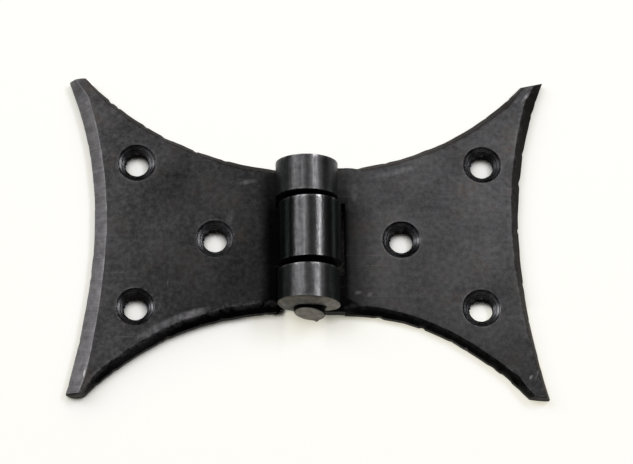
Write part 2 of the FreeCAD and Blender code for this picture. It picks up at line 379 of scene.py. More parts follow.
def new_node(tree, kind, inputs=None, **settings):
    """Adds a node. inputs maps sockets, by name or number, to values or to other nodes' outputs."""
    node = tree.nodes.new(kind)
    for name, value in settings.items():
        setattr(node, name, value)
    for key, value in (inputs or {}).items():
        if isinstance(value, Signal):
            tree.links.new(value.socket, node.inputs[key])
        else:
            node.inputs[key].default_value = value
    return node


def add(tree, kind, inputs=None, output=0, **settings):
    """Adds a node and gives one of its outputs."""
    return Signal(new_node(tree, kind, inputs, **settings).outputs[output])


def outputs(tree, kind, inputs=None, **settings):
    """Adds a node and gives all its outputs by name."""
    return {socket.name: Signal(socket) for socket in new_node(tree, kind, inputs, **settings).outputs}


def calc(tree, operation, first, second=0.0, clamp=False):
    """One step of arithmetic."""
    return add(tree, "ShaderNodeMath", {0: first, 1: second}, operation=operation, use_clamp=clamp)


def join(tree, *parts):
    """A vector from its parts."""
    return add(tree, "ShaderNodeCombineXYZ", dict(enumerate(parts)))


def cloud(where, scale, detail=4.0, rough=0.55):
    """Cloudy noise from 0 to 1, about 0.5."""
    inputs = {"Vector": where, "Scale": scale, "Detail": detail, "Roughness": rough}
    return add(where.tree, "ShaderNodeTexNoise", inputs)


def blend(tree, share_of_second, first, second):
    """Mixes two colours."""
    return add(tree, "ShaderNodeMix", {0: share_of_second, 6: first, 7: second}, 2, data_type="RGBA")


def layer(tree, name):
    """A number that the mesh holds at each point."""
    return add(tree, "ShaderNodeAttribute", output="Fac", attribute_name=name)


def turned(where, scale, degrees=0.0):
    """Object coordinates turned about Z and stretched."""
    inputs = {"Vector": where, "Rotation": (0.0, 0.0, math.radians(degrees)), "Scale": scale}
    return add(where.tree, "ShaderNodeMapping", inputs)


def rgba(value, gain=1.0):
    """Colour with its alpha."""
    return (*(channel * gain for channel in value), 1.0)


def empty_material(name):
    """Node material without nodes, and its tree."""
    material = bpy.data.materials.new(name)
    material.use_nodes = True
    material.node_tree.nodes.clear()
    return material, material.node_tree


def new_material(name):
    """Node material, its tree, its shader and Object coordinates."""
    material, tree = empty_material(name)
    shader = new_node(tree, "ShaderNodeBsdfPrincipled")
    new_node(tree, "ShaderNodeOutputMaterial", {"Surface": Signal(shader.outputs[0])})
    return material, tree, shader, add(tree, "ShaderNodeTexCoord", output="Object")


def finish(shader, base, rough, relief, depth, metal=1.0):
    """Joins colour, roughness and fine relief to the shader. depth is in millimetres."""
    tree = base.tree
    bump = add(tree, "ShaderNodeBump", {"Height": relief, "Strength": 1.0, "Distance": depth * MM})
    for name, signal in (("Base Color", base), ("Roughness", rough), ("Normal", bump)):
        tree.links.new(signal.socket, shader.inputs[name])
    shader.inputs["Metallic"].default_value = metal


def scratches(where, degrees, fine, long):
    """Thin, sparse scratches that run at an angle to X."""
    lines = cloud(turned(where, (long, fine, fine), degrees), 1.0, 2.0)
    patches = cloud(where, 110.0, 2.0)
    return lines.ramp(0.66, 0.72) * patches.ramp(0.45, 0.7)


def rubbed(where, marks):
    """Rubbed marks, some of them painted highlights on lit facets: soft ellipses, each with its middle, half
    length, half width, angle and strength.
    """
    total = calc(where.tree, "ADD", 0.0)
    for x, y, long, wide, degrees, strength in marks:
        inputs = {
            "Vector": where,
            "Location": (x * MM, y * MM, 0.0),
            "Rotation": (0.0, 0.0, math.radians(degrees)),
            "Scale": (long * MM, wide * MM, 1.0),
        }
        local = add(where.tree, "ShaderNodeMapping", inputs, vector_type="TEXTURE")
        total = local.length().ramp(1.0, 0.4, 0.0, strength) + total
    return total


def scale_finish(name, colours, tone, speckle=1.0, light=(1.0, 1.0, 1.0, 0.5), marks=(), sooty_and_shaded=False):
    """Satin black forge scale: speckled, faintly brown in patches, scratched, rubbed bright on the edges,
    with painted light and shade on the face.
    """
    material, tree, shader, where = new_material(name)
    shades = colours.scale_dark, colours.scale_light, colours.rust
    dark, pale, rust = (rgba(shade, tone) for shade in shades)
    mottle = cloud(where, 900.0, 7.0, 0.72)
    speck = cloud(where, 90.0, 3.0) * 0.4 + mottle * 0.6
    spread = 0.14 / speckle
    base = blend(tree, speck.ramp(0.5 - spread, 0.5 + spread), dark, pale)
    base = base.under(cloud(where, 190.0, 5.0, 0.7).ramp(0.52, 0.75, 0.0, 0.6), rust)

    # Painted light and shade: the face is painted lighter towards its upper and outer ends and darker towards
    # its lower end, and painted shade blackens it beside the barrel and in its lower corner.
    across, along, up = where.parts()
    axis_shift = 0.1
    out = abs(across + axis_shift * MM)
    lower, upper, outer, beside = light
    base = base.lighter(along.ramp_mm(-27.0, 12.0, lower, upper) * out.ramp_mm(26.0, 40.0, 1.0, outer))
    painted_shade = out.ramp_mm(7.9, 10.8, 0.95, 0.0).most(out.ramp_mm(7.0, 15.0, beside, 0.0))
    painted_shade = painted_shade * along.ramp_mm(5.0, 12.0, 1.0, 0.55)
    corner = along + out * 0.64
    painted_shade = painted_shade.most(corner.ramp_mm(-8.6, -7.4, 0.97, 0.0))
    base = base.under(painted_shade, rgba(colours.soot_and_shade))
    # Unfiled edges: browner scale, then near black from the point layer, laid on as soot and as painted shade
    # where edges turn from the light.
    if sooty_and_shaded:
        base = base.under(0.45, rust)
        base = base.under(calc(tree, "MINIMUM", layer(tree, "soot_and_shade"), 1.0), rgba(colours.soot_and_shade))

    scrapes = scratches(where, 62.0, 1900.0, 60.0) + scratches(where, -8.0, 1500.0, 50.0)
    worn = layer(tree, "worn") * speck.ramp(0.42, 0.56)
    in_front = up.ramp_mm(1.2, 2.2)
    # Rubbed marks on the front, some of them painted highlights on lit facets.
    marked = rubbed(where, marks) * speck.ramp(0.42, 0.56, 0.5, 1.0) * in_front
    bright = calc(tree, "ADD", scrapes * 0.12, worn + marked, clamp=True)
    base = base.under(bright, rgba(colours.filed, 1.5))
    relief = cloud(where, 4200.0, 3.0) * 0.5 + mottle - scrapes * 0.3
    finish(shader, base, speck.ramp(0.35, 0.65, 0.7, 0.55), relief, 0.03)
    return material


def filed_finish(name, colours, marks):
    """Bevel filed to grey iron, with the file's marks across the edge."""
    material, tree, shader, where = new_material(name)
    strokes = cloud(join(tree, layer(tree, "run")), 2.2, 5.0, 0.7)
    mottle = cloud(where, 700.0, 5.0, 0.65)
    tone = (strokes + mottle) * 0.5
    base = blend(tree, tone.ramp(0.38, 0.62), rgba(colours.filed, 0.7), rgba(colours.filed, 1.25))
    stain = cloud(where, 160.0, 3.0).ramp(0.55, 0.8, 0.0, 0.5)
    base = base.under(stain, rgba(colours.scale_light))
    # Rubbed marks, some of them painted highlights on lit facets, laid on as much lighter iron.
    base = base.under(rubbed(where, marks), rgba(colours.filed, 3.0))
    finish(shader, base, mottle.ramp(0.3, 0.7, 0.62, 0.5), tone, 0.03)
    return material


def rolled_finish(name, colours):
    """Smooth black of the barrel, drawn along the pin, with painted blue-black shade on its flanks."""
    material, tree, shader, where = new_material(name)
    drawn = cloud(turned(where, (900.0, 60.0, 900.0)), 1.0, 4.0, 0.6)
    mottle = cloud(where, 900.0, 6.0, 0.72)
    tone = (drawn + mottle) * 0.5
    base = blend(tree, tone.ramp(0.35, 0.65), rgba(colours.rolled, 0.5), rgba(colours.rolled, 1.5))
    polish = layer(tree, "polish")
    base = base.lighter(1.3 - polish * 0.25)
    # Painted shade: the flanks below the crown are painted blue black, half as much on the top knuckle.
    _, along, up = where.parts()
    painted_flank_shade = up.ramp_mm(10.8, 12.0, 0.6, 0.0) * along.ramp_mm(6.0, 6.8, 1.0, 0.5)
    base = base.under(painted_flank_shade, rgba(colours.painted_flank_shade))
    base = base.under(layer(tree, "worn") * mottle.ramp(0.42, 0.6), rgba(colours.filed))
    rough = tone.ramp(0.35, 0.65, 0.38, 0.28) - polish * 0.1
    finish(shader, base, rough, cloud(where, 3000.0, 3.0) * 0.5 + tone, 0.045)
    return material


def sawn_finish(name, colours):
    """Bare grey ends with saw marks, darker towards the left and round the bore except on its right."""
    material, tree, shader, where = new_material(name)
    marks = cloud(turned(where, (250.0, 1.0, 2600.0)), 1.0, 4.0, 0.6)
    mottle = cloud(where, 600.0, 5.0, 0.65)
    tone = (marks + mottle) * 0.5
    base = blend(tree, tone.ramp(0.38, 0.62), rgba(colours.sawn, 0.6), rgba(colours.sawn, 1.3))
    across, _, up = where.parts()
    # Darker towards the left of the end, and round the bore except on its right.
    base = base.under(across.ramp_mm(-6.0, -1.0, 0.35, 0.0), rgba(colours.soot_and_shade))
    radius = join(tree, across, up - BARREL_RADIUS * MM).length()
    off_pin = radius.ramp_mm(3.15, 3.25)
    oily = radius.ramp_mm(3.3, 6.3, 0.85, 0.0) * off_pin * across.ramp_mm(1.0, 4.0, 1.0, 0.0)
    base = base.under(oily, rgba(colours.soot_and_shade))
    finish(shader, base, mottle.ramp(0.3, 0.7, 0.6, 0.45), tone, 0.02)
    return material


def bore_finish(name, colours):
    """Screw holes: dull, blackish brown."""
    material, tree, shader, where = new_material(name)
    mottle = cloud(where, 800.0, 5.0, 0.65)
    base = blend(tree, mottle.ramp(0.4, 0.65), rgba(colours.soot_and_shade), rgba(colours.rust, 0.5))
    finish(shader, base, mottle.ramp(0.3, 0.7, 0.9, 0.7), mottle, 0.03, metal=0.0)
    shader.inputs["Specular IOR Level"].default_value = 0.1
    return material


def cut_finish(name, colours):
    """Countersinks: iron cut dark and clean, a little oily."""
    material, tree, shader, where = new_material(name)
    mottle = cloud(where, 800.0, 5.0, 0.65)
    patch = cloud(where, 260.0, 3.0)
    base = blend(tree, patch.ramp(0.4, 0.65), rgba(colours.cut, 0.2), rgba(colours.cut))
    finish(shader, base, mottle.ramp(0.3, 0.7, 0.34, 0.2), mottle, 0.01)
    return material


def floor_finish(name, stage):
    """Pale floor that keeps a soft shadow and is white where the lamps reach it."""
    material, tree = empty_material(name)
    path = outputs(tree, "ShaderNodeLightPath")
    seen = path["Is Camera Ray"].most(path["Is Glossy Ray"]).most(path["Is Transmission Ray"])
    to_far_side = join(tree, 0.0, 0.6, 0.8)
    sky = {"Distance": stage.floor_shade, "Normal": to_far_side}
    open_sky = add(tree, "ShaderNodeAmbientOcclusion", sky, "AO", samples=12)

    # Before the near edge the shadow is paler or darker in turn: from X, to X, and how much paler.
    across, along, _ = add(tree, "ShaderNodeTexCoord", output="Object").parts()
    near_edge = along.ramp_mm(-14.0, -16.0) + along.ramp_mm(-17.0, -19.5, 0.0, 0.5)
    pale = calc(tree, "ADD", 0.0)
    for start, end, rise in ((-14.0, -8.0, 0.1), (-5.4, -4.0, 0.2), (2.0, 4.0, -0.16), (9.0, 13.0, 0.14)):
        pale = across.ramp_mm(start, end, 0.0, rise) + pale
    open_sky = open_sky + pale * near_edge

    # The corner between the left leaf and the lower knuckle is dark while the leaf shades it.
    corner = across.ramp_mm(-7.6, -6.8) * across.ramp_mm(-4.6, -5.4)
    corner = corner * along.ramp_mm(-16.7, -15.8, 0.0, 0.3) * along.ramp_mm(-10.0, -12.0)
    open_sky = open_sky - corner * open_sky.ramp(0.6, 0.5)

    in_slit = open_sky.ramp(0.42, 0.2)
    no_light = (0.0, 0.0, 0.0)
    surface = blend(tree, in_slit, rgba(stage.floor_lit), rgba(no_light))
    lit = add(tree, "ShaderNodeBsdfDiffuse", {"Color": surface})
    shade = open_sky.ramp(0.33, 0.46, 0.0, 0.7) + open_sky.ramp(0.46, 0.9, 0.0, 0.3)
    glow = add(tree, "ShaderNodeEmission", {"Color": rgba(stage.floor_glow), "Strength": seen * shade})
    both = add(tree, "ShaderNodeAddShader", {0: lit, 1: glow})
    new_node(tree, "ShaderNodeOutputMaterial", {"Surface": both})
    return material


def smooth(value):
    """Eases a number from 0 to 1."""
    value = min(1.0, max(0.0, value))
    return value * value * (3.0 - 2.0 * value)


def rough_line(run, seed):
    """Unevenness of a hand-filed line: slow waves, short waves and small nicks."""
    slow = noise.noise(Vector((run / 5.5, seed * 3.7, 0.5)))
    short = noise.noise(Vector((run / 1.9, seed * 5.1, 7.5)))
    nick = noise.noise(Vector((run / 1.3, seed * 9.3, 3.5)))
    return 0.15 * slow + 0.09 * short + 0.55 * max(0.0, nick - 0.2)


def perpendicular(direction):
    """Unit normal to the left of a direction, which is into the leaf."""
    normal = Vector((-direction.y, direction.x))
    return normal.normalized()


def meet(corner, first_normal, second_normal, first_inset, second_inset):
    """Where two lines through a corner meet once each is moved in along its normal."""
    across = first_normal.x * second_normal.y - first_normal.y * second_normal.x
    x = (first_inset * second_normal.y - second_inset * first_normal.y) / across
    y = (second_inset * first_normal.x - first_inset * second_normal.x) / across
    return corner + Vector((x, y))


class Stretch:
    """One stretch of a leaf's outline between two corners. Places on it are told by v, from 0 to 1."""

    def __init__(self, blank, edge, start, end):
        self.blank, self.edge = blank, edge
        self.start, self.end = start, end
        self.span = (end - start).length
        self.steps = max(2, round(self.span / (LONG_STEP if self.span > LONG_EDGE else SHORT_STEP)))

    def spot(self, v):
        """A place on the outline, which is scalloped where it is filed."""
        place = self.start.lerp(self.end, v)
        if not isinstance(self.edge, Edge):
            return place
        bulge = self.edge.depth * 4 * v * (1 - v) * (1 + self.edge.lean * (2 * v - 1))
        return place + perpendicular(self.end - self.start) * bulge

    def inward(self, v):
        """Direction into the leaf."""
        nearby = 0.002
        return perpendicular(self.spot(min(1.0, v + nearby)) - self.spot(max(0.0, v - nearby)))

    def bevel_width(self, v):
        """Width of the bevel."""
        if isinstance(self.edge, End):
            return self.edge.bevel
        first, start, middle, end, last = self.edge.bevel
        left = 1 - v
        width = start * left * (1 - 2 * v) + 4 * middle * v * left + end * v * (2 * v - 1)
        width = first + (width - first) * smooth(v * self.span / BEVEL_EASE)
        return last + (width - last) * smooth(left * self.span / BEVEL_EASE)

    def insets(self, v):
        """How far in from the outline each row lies."""
        blank = self.blank
        if isinstance(self.edge, (Edge, End)):
            width = self.bevel_width(v)
            return [rounding + part * width for rounding, part in zip(blank.round, blank.slope)]
        if isinstance(self.edge, Side):
            return [self.edge.rounding * part for part in (1.0, 0.65, 0.2, 0.08, 0.0)] + [FRONT_ROUND]
        if self.edge == "lip":
            end = blank.roll_end(blank.thick)
            return [rounding + end - blank.roll_end(z) for rounding, z in zip(blank.round, blank.levels)]
        return blank.round

    def filed_rows(self, v, place, seed):
        """Rows of a filed edge, uneven away from its corners."""
        ease = smooth(v * self.span / CORNER_EASE) * smooth((1 - v) * self.span / CORNER_EASE)
        ease *= self.blank.sizes.wobble * self.edge.ragged
        line = rough_line(place, seed) * ease
        top = rough_line(place, seed + 3) * ease * 0.8
        shifts = [line + (top - line) * part for part in self.blank.slope]
        spot, inward = self.spot(v), self.inward(v)
        return [spot + inward * (inset + shift) for inset, shift in zip(self.insets(v), shifts)]

    def plain_rows(self, v, first, last):
        """Rows between those of the corners, which bulge at the end of a tip."""
        bulge = self.edge.bulge if isinstance(self.edge, End) else 0.0
        outward = self.inward(v) * (-bulge * 4 * v * (1 - v))
        return [a.lerp(b, v) + outward for a, b in zip(first, last)]

    def soot_and_shade(self, v):
        """How black the edge is."""
        if isinstance(self.edge, Edge):
            start, end, _ = self.edge.soot_and_shade
            return start + (end - start) * v
        return self.edge.soot_and_shade if isinstance(self.edge, End) else 1.0


class Blank:
    """A leaf's flat blank: outline rows from the back edge to the front edge, filled in front and behind."""

    def __init__(self, leaf, sizes):
        self.leaf = leaf
        self.sizes = sizes
        self.thick = sizes.thickness / MM
        self.neutral = BARREL_RADIUS - self.thick / 2
        self.rim = sizes.rim_radius / MM
        self.bore = sizes.screw_radius / MM
        depth = sizes.bevel_depth / MM
        # Rows of an edge, from the back to the front: depth below the front, share of the bevel, rounding.
        below = [self.thick, self.thick - BACK_ROW, depth, depth / 2, FRONT_ROUND, 0.0]
        self.levels = [self.thick - drop for drop in below]
        self.slope = [0.0, 0.0, 0.0, 0.5, (depth - FRONT_ROUND) / depth, 1.0]
        self.round = [BACK_ROUND, 0.0, 0.0, 0.0, 0.0, FRONT_ROUND]
        self.holes = [
            Vector((leaf.side * mount["pos_m"][0], mount["pos_m"][1])) / MM
            for mount in frame["record"]["mounts"]
            if mount["kind"] == "bore" and mount["pos_m"][0] * leaf.side > 0
        ]
        self.segments = 64
        self.points, self.known = [], {}
        self.faces, self.finishes = [], []
        self.worn, self.run, self.soot_and_shade = [], [], []

    def point(self, x, y, z, worn=0.0, run=0.0, soot_and_shade=0.0):
        """Number of a point, which is shared with any other at the same place."""
        key = (round(x, 5), round(y, 5), round(z, 5))
        if key not in self.known:
            self.known[key] = len(self.points)
            self.points.append((x, y, z))
            self.worn.append(worn)
            self.run.append(run)
            self.soot_and_shade.append(soot_and_shade)
        return self.known[key]

    def face(self, corners, finish_number):
        """Adds a face, unless its corners have run together."""
        corners = [c for i, c in enumerate(corners) if c != corners[i - 1]]
        if len(set(corners)) > 2:
            self.faces.append(corners)
            self.finishes.append(finish_number)

    def front(self, x, y):
        """Height of the hammered front, which is flat at the holes but for a ring of burr."""
        away = min((Vector((x, y)) - hole).length for hole in self.holes) - self.rim
        broad_blow, small_blow = 9.0, 3.4
        slow = noise.noise(Vector((x / broad_blow, y / broad_blow, self.leaf.side * 5.0)))
        quick = noise.noise(Vector((x / small_blow, y / small_blow, self.leaf.side * 9.0)))
        wave = (slow + 0.4 * quick) * self.sizes.hammering / MM
        burr_height, burr_place, burr_width = 0.035, 0.55, 0.16
        burr = burr_height * math.exp(-((away - burr_place) / burr_width) ** 2)
        return self.thick + wave * smooth(away / 2.0) * smooth(x / 4.0) + burr - self.stand_off(x)

    def roll_end(self, height):
        """How far out on the blank the strip's end lies, for a layer at a height above its back."""
        radius = BARREL_RADIUS - height
        drop = BARREL_RADIUS - self.thick - self.sizes.seam / MM
        return self.neutral * (FULL_TURN - math.acos(min(1.0, drop / radius)))

    def tongue_at(self, y):
        """The tongue at a place along the pin, if there is one."""
        return next((t for t in self.leaf.tongues if t.low - END_MARGIN < y < t.high + END_MARGIN), None)

    def back(self, x, y):
        """Height of the back, which is also the outside of the barrel."""
        tongue = self.tongue_at(y)
        if x >= 0.0 or tongue is None:
            return 0.0
        turn = -x / self.neutral
        uneven = noise.noise(Vector((-x / 3.5, y / 5.0, self.leaf.side * 13.0)))
        uneven += 0.5 * noise.noise(Vector((-x / 1.6, y / 2.5, self.leaf.side * 17.0)))
        crown = self.leaf.side * (tongue.drift * math.sin(turn) + tongue.skew * math.sin(2.0 * turn))
        return (crown + 0.02 * uneven) * smooth(x / BARREL_FROM)

    def stand_off(self, x):
        """How far the end of the roll stands off the pin."""
        at_end, begins, eases_over = 0.25, 9.0, 5.0
        from_end = x + self.roll_end(self.thick)
        return at_end * smooth((begins - from_end) / eases_over)

    def outline(self):
        """Corners with the edge that follows each, walked with the leaf on the left."""
        leaf = self.leaf
        root = BARREL_RADIUS + leaf.notch
        tip = self.sizes.tip_width / MM
        half_waist = self.sizes.waist / MM / 2

        def tip_corners(nudges, sign):
            outside = Vector((LEAF_REACH, sign * HALF_HEIGHT)) + Vector(nudges[0])
            inside = Vector((LEAF_REACH - tip, sign * HALF_HEIGHT)) + Vector(nudges[1])
            return outside, inside

        low_out, low_in = tip_corners(leaf.lower_tip, -1)
        high_out, high_in = tip_corners(leaf.upper_tip, 1)
        walk = [
            (Vector((root, BARREL_MIDDLE - half_waist + leaf.lower_root)), leaf.lower),
            (low_in, leaf.lower_end),
            (low_out, leaf.outer),
            (high_out, leaf.upper_end),
            (high_in, leaf.upper),
            (Vector((root, BARREL_MIDDLE + half_waist + leaf.upper_root)), None),
        ]
        end = -self.roll_end(self.thick)
        for tongue in leaf.tongues:
            walk += [
                (Vector((root, tongue.high)), Side(tongue, tongue.high_finish, tongue.high_round)),
                (Vector((end, tongue.high)), "lip"),
                (Vector((end, tongue.low)), Side(tongue, tongue.low_finish, tongue.low_round)),
                (Vector((root, tongue.low)), None),
            ]
        return walk

    def columns(self):
        """Columns of outline points: their rows, edge, place along the outline and soot."""
        walk = self.outline()
        ends = [corner for corner, _ in walk[1:] + walk[:1]]
        stretches = [Stretch(self, edge, start, end) for (start, edge), end in zip(walk, ends)]
        corners = []
        for i, after in enumerate(stretches):
            before = stretches[i - 1]
            normals = before.inward(1.0), after.inward(0.0)
            insets = zip(before.insets(1.0), after.insets(0.0))
            corners.append([meet(after.start, *normals, *pair) for pair in insets])
        found, run = [], 0.0
        for i, stretch in enumerate(stretches):
            following = (i + 1) % len(stretches)
            for step in range(stretch.steps):
                v = step / stretch.steps
                place = run + v * stretch.span
                if step == 0:
                    rows = corners[i]
                elif isinstance(stretch.edge, Edge):
                    rows = stretch.filed_rows(v, place, self.sizes.seed + 10 * i + self.leaf.side)
                    self.trim(rows, stretch.start, stretches[i - 1], 1.0, corners[i])
                    self.trim(rows, stretch.end, stretches[following], 0.0, corners[following])
                else:
                    rows = stretch.plain_rows(v, corners[i], corners[following])
                found.append((rows, stretch.edge, place, stretch.soot_and_shade(v)))
            run += stretch.span
        return found

    def trim(self, rows, corner, neighbour, v, corner_rows):
        """Draws the rows that lie past a neighbouring stretch back to the corner."""
        normal, limits = neighbour.inward(v), neighbour.insets(v)
        for r, spot in enumerate(rows):
            if (spot - corner).dot(normal) < limits[r]:
                rows[r] = corner_rows[r]

    def height(self, r, spot):
        """Height of a point in a row of the outline."""
        if r == 0:
            return self.back(spot.x, spot.y)
        if r == FRONT_ROW:
            return self.front(spot.x, spot.y)
        z = self.levels[r]
        if spot.x < 0.0:
            up = z / self.thick
            z += self.back(spot.x, spot.y) * (1 - up) - self.stand_off(spot.x) * up
        return z

    def rub(self, r, spot, edge):
        """How far the scale is rubbed off at a point of the outline."""
        if r < BEVEL_ROW and spot.x < BARREL_FROM:
            at_upper_end = isinstance(edge, Side) and spot.y > edge.tongue.high - 0.6
            return 0.9 if at_upper_end else 0.3
        if r < TOP_ROW:
            return 0.0
        return edge.worn if isinstance(edge, Edge) else 0.2 if isinstance(edge, End) else 0.0

    def build(self):
        """Fills the point and face lists."""
        columns = self.columns()
        table = []
        for rows, edge, place, soot_and_shade in columns:
            column = []
            for r, spot in enumerate(rows):
                y = spot.y
                if isinstance(edge, Side):
                    y += self.end_shape(edge.tongue, spot, self.levels[r])
                black = edge.soot_and_shade[-1] if isinstance(edge, Edge) and r < BEVEL_ROW else soot_and_shade
                z, rub = self.height(r, spot), self.rub(r, spot, edge)
                column.append(self.point(spot.x, y, z, rub, place, black))
            table.append(column)
        for i, (rows, edge, _, _) in enumerate(columns):
            following = table[(i + 1) % len(table)]
            for r in range(FRONT_ROW):
                corners = [table[i][r], following[r], following[r + 1], table[i][r + 1]]
                self.face(corners, self.edge_finish(edge, r, rows[0].x))
        turns = [FULL_TURN * k / self.segments for k in range(self.segments)]
        self.fill([column[-1] for column in table], self.rim, turns, self.front, True)
        self.fill([column[0] for column in table], self.bore, turns, self.back, False)

    def polish(self):
        """How smooth each point of the barrel is rubbed."""
        found = []
        for x, y, _ in self.points:
            tongue = self.tongue_at(y)
            found.append(tongue.polish if tongue and x < 0.0 else 0.0)
        return found

    def end_shape(self, tongue, spot, height):
        """Sets the lower end of a knuckle back from its foot, leans it out of square and domes it."""
        end_zone, domed_wall = 1.2, 2.2
        if spot.y > tongue.low + end_zone:
            return 0.0
        rolled = -spot.x
        set_back = 0.45 * tongue.dome * smooth((1.0 + rolled) / 2.0)
        if rolled < 0.0:
            return set_back
        rise = math.sin(min(1.0, height / domed_wall) * math.pi / 2) * smooth((rolled - 2.0) / 4.0)
        flat_at_seam = 1.0 - 0.8 * smooth((rolled - 15.0) / 8.0)
        lean = tongue.slant * self.leaf.side * math.sin(rolled / self.neutral)
        return lean - tongue.dome * rise * flat_at_seam + set_back

    def edge_finish(self, edge, row, out):
        """Finish of one row of the outline's faces."""
        if isinstance(edge, Edge):
            return edge.finish if row >= BEVEL_ROW else BLACK
        if isinstance(edge, End):
            return BLACK
        if isinstance(edge, Side) and out < BARREL_FROM:
            return ROLLED if row == 0 and edge.finish == SCALE else edge.finish
        return BLACK if isinstance(edge, Side) and edge.finish == SAWN else SCALE

    def fill(self, loop, radius, turns, height, facing):
        """Fills the front or the back with small triangles, round the holes."""
        outer = [loop[i] for i in range(len(loop)) if loop[i] != loop[i - 1]]
        loops = [outer]
        for hole in self.holes:
            ring = []
            for turn in turns:
                x = hole.x + radius * math.cos(turn)
                y = hole.y + radius * math.sin(turn)
                ring.append(self.point(x, y, self.thick if facing else 0.0, worn=0.35))
            loops.append(ring)
        flat = [np.array([self.points[n][:2] for n in ring]) for ring in loops]
        loose = []
        if facing:
            for hole in self.holes:
                for step, out in enumerate(RIM_STEPS):
                    for turn in turns[step % 2::2]:
                        reach = radius + out
                        loose.append((hole.x + reach * math.cos(turn), hole.y + reach * math.sin(turn)))
            loose += self.lattice(low=0.8, high=LEAF_REACH, across=0.9, along=0.9)
            loose += self.lattice(low=BLANK_END, high=0.8, across=1.1, along=1.1)
        else:
            loose += self.lattice(low=1.5, high=LEAF_REACH, across=1.5, along=1.5)
            loose += self.lattice(low=BLANK_END, high=1.5, across=0.42, along=0.6)
        loose = self.clear_of(np.array(loose), flat, clearance=0.3 if facing else 0.2)
        numbers = [n for ring in loops for n in ring]
        spots = [Vector(self.points[n][:2]) for n in numbers]
        borders, first = [], 0
        for ring in loops:
            borders += [(first + k, first + (k + 1) % len(ring)) for k in range(len(ring))]
            first += len(ring)
        for x, y in loose:
            numbers.append(self.point(x, y, height(x, y)))
            spots.append(Vector((x, y)))
        within_borders, closeness = 1, 1e-7
        _, _, triangles, sources, _, _ = delaunay_2d_cdt(spots, borders, [], within_borders, closeness)
        for triangle in triangles:
            corners = [numbers[sources[n][0]] for n in triangle]
            if not facing:
                corners.reverse()
            middle = sum((Vector(self.points[n][:2]) for n in corners), Vector((0.0, 0.0))) / 3
            if min((middle - hole).length for hole in self.holes) > radius:
                self.face(corners, ROLLED if middle.x < 1.0 and not facing else SCALE)

    def lattice(self, low, high, across, along):
        """Staggered points between two distances from the pin."""
        spots = []
        for column in range(int((high - low) / across) + 1):
            shift = along / 2 if column % 2 else 0.0
            for row in range(int(2 * HALF_HEIGHT / along) + 2):
                spots.append((low + column * across, row * along + shift - HALF_HEIGHT - 0.5))
        return spots

    def clear_of(self, spots, loops, clearance):
        """Keeps the points inside the outline and outside the holes that are clear of every border."""
        inside = np.zeros(len(spots), bool)
        nearest = np.full(len(spots), np.inf)
        x, y = spots[:, 0], spots[:, 1]
        for ring in loops:
            for (ax, ay), (bx, by) in zip(ring, np.roll(ring, -1, axis=0)):
                if ay != by:
                    inside ^= ((ay > y) != (by > y)) & (x < (bx - ax) * (y - ay) / (by - ay) + ax)
                size = (bx - ax) ** 2 + (by - ay) ** 2
                along = np.clip(((x - ax) * (bx - ax) + (y - ay) * (by - ay)) / size, 0.0, 1.0)
                gap = (x - ax - along * (bx - ax)) ** 2 + (y - ay - along * (by - ay)) ** 2
                nearest = np.minimum(nearest, gap)
        keep = inside & (nearest > clearance**2)
        return [tuple(spot) for spot in spots[keep]]


